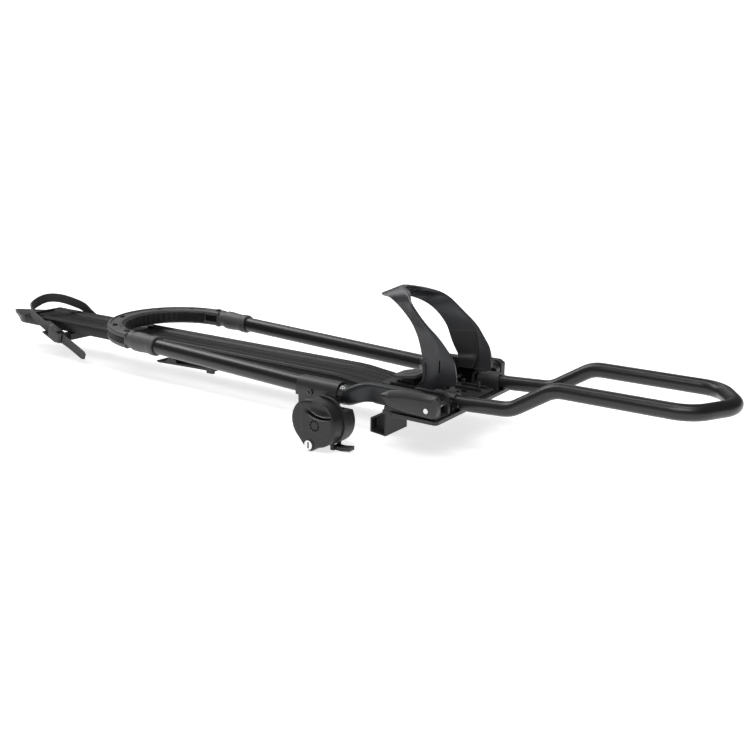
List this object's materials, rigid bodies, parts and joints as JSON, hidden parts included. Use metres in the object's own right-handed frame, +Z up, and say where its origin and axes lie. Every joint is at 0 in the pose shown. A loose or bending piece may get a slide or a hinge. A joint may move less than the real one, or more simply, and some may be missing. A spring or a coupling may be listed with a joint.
{
  "type": "roof mounted bike carrier",
  "caption": "Upright roof carrier for a bicycle: long wheel tray, front tube loop, wheel arch, folding mast with hoop and knob, claws closed by a lever and a rear wheel strap.",
  "frame": {"origin": "middle of the front pad's underside, where it rests on the front crossbar", "axes": "+X to the front of the car, +Z up, Y = 0 the middle of the wheel tray"},
  "size_m": [1.4577, 0.3063, 0.2195],
  "materials": {
    "black_tube": "satin black powder coat",
    "black_plastic": "moulded, fine grain",
    "black_plate": "black coated pressed plate",
    "grey_casting": "satin grey moulding",
    "black_rubber": "ribbed soft rubber",
    "arch_plastic": "satin moulding",
    "bright_steel": "zinc plated",
    "dark_steel": "black oxide",
    "tray_metal": "black anodised extrusion",
    "lever_plastic": "satin moulding",
    "arm_metal": "black cast arm",
    "ring_metal": "toothed, worn edges",
    "saddle_plastic": "satin moulding",
    "dial_plastic": "satin moulding",
    "lock_chrome": "polished",
    "strap_plastic": "ribbed flexible plastic"
  },
  "bodies": {
    "base": {"bar_pad": "black_rubber", "base_plate": "black_plate", "side_bracket_near": "black_plastic", "side_bracket_far": "black_plastic", "loop_tube": "black_tube", "loop_sockets": "black_plastic", "wheel_arch": "arch_plastic", "arch_pins": "bright_steel", "centre_cover": "black_plastic", "cover_screws": "dark_steel", "tray": "tray_metal", "tray_end_cap": "black_plastic", "tray_bracket": "black_plastic", "tray_screws": "dark_steel", "lever_pin": "bright_steel", "pivot_pin_near": "dark_steel", "pivot_pin_far": "dark_steel"},
    "front_lever": {"lever": "lever_plastic"},
    "near_claw": {"claw_near": "black_plastic", "claw_link_near": "dark_steel"},
    "far_claw": {"claw_far": "black_plastic", "claw_link_far": "dark_steel"},
    "mast": {"mast_tube_near": "black_tube", "mast_tube_far": "black_tube", "mast_arm_near": "arm_metal", "mast_arm_far": "arm_metal", "spline_rings": "ring_metal", "collar_near": "grey_casting", "collar_far": "grey_casting", "hoop": "grey_casting", "hoop_pad": "black_rubber", "hoop_screws": "dark_steel", "hoop_bolts": "dark_steel", "knob_saddle": "saddle_plastic", "saddle_bolts": "dark_steel", "drum_housing": "black_plastic", "release_pin": "dark_steel"},
    "knob": {"knob_dial": "dial_plastic", "knob_shaft": "dark_steel", "ratchet_wheel": "dark_steel", "lock_barrel": "black_plastic"},
    "lock": {"lock_plug": "lock_chrome"},
    "release": {"release_tab": "black_plastic"},
    "rear_strap": {"strap_slider": "black_plastic", "wheel_strap": "strap_plastic", "strap_buckle": "black_plastic", "buckle_pin": "bright_steel"},
    "catch": {"buckle_lever": "black_plastic"},
    "rear_clamp": {"rear_clamp_slider": "black_plastic", "rear_pad": "black_rubber", "rear_clamp_pin": "dark_steel"},
    "clamp_lever": {"rear_clamp_lever": "black_plastic"}
  },
  "joints": [
    {"name": "mast_fold", "type": "hinge", "parent": "base", "child": "mast", "pos_m": [0.021, 0, 0.0246], "axis": [0, 1, 0], "range_deg": [0, 130]},
    {"name": "front_lever_turn", "type": "hinge", "parent": "base", "child": "front_lever", "pos_m": [0.0545, -0.133, 0.0244], "axis": [0, 1, 0], "range_deg": [0, 90]},
    {"name": "near_claw_slide", "type": "slide", "parent": "base", "child": "near_claw", "axis": [-1, 0, 0], "range_m": [0, 0.012]},
    {"name": "far_claw_slide", "type": "slide", "parent": "base", "child": "far_claw", "axis": [-1, 0, 0], "range_m": [0, 0.012]},
    {"name": "knob_turn", "type": "hinge", "parent": "mast", "child": "knob", "pos_m": [-0.1044, -0.16, -0.0159], "axis": [0, 1, 0], "continuous": true},
    {"name": "lock_turn", "type": "hinge", "parent": "knob", "child": "lock", "pos_m": [-0.1154, -0.17, -0.0479], "axis": [0, 1, 0], "range_deg": [0, 90]},
    {"name": "tab_press", "type": "hinge", "parent": "mast", "child": "release", "pos_m": [-0.092, -0.142, -0.0545], "axis": [0, -1, 0], "range_deg": [0, 10], "stiffness_Nm_per_rad": 0.2, "springref_deg": -2.86},
    {"name": "strap_slide", "type": "slide", "parent": "base", "child": "rear_strap", "axis": [1, 0, 0], "range_m": [-0.06, 0.11]},
    {"name": "catch_turn", "type": "hinge", "parent": "rear_strap", "child": "catch", "pos_m": [-0.84599, -0.06023, -0.00149], "axis": [-0.3689, 0, -0.9295], "range_deg": [0, 45]},
    {"name": "rear_clamp_slide", "type": "slide", "parent": "base", "child": "rear_clamp", "axis": [1, 0, 0], "range_m": [-0.09, 0.2]},
    {"name": "clamp_lever_turn", "type": "hinge", "parent": "rear_clamp", "child": "clamp_lever", "pos_m": [-0.462, 0, -0.0273], "axis": [0, -1, 0], "range_deg": [0, 95]}
  ],
  "couplings": [
    {"joint": "near_claw_slide", "follows": "front_lever_turn", "m_per_rad": 0.00763},
    {"joint": "far_claw_slide", "follows": "front_lever_turn", "m_per_rad": 0.00763}
  ]
}
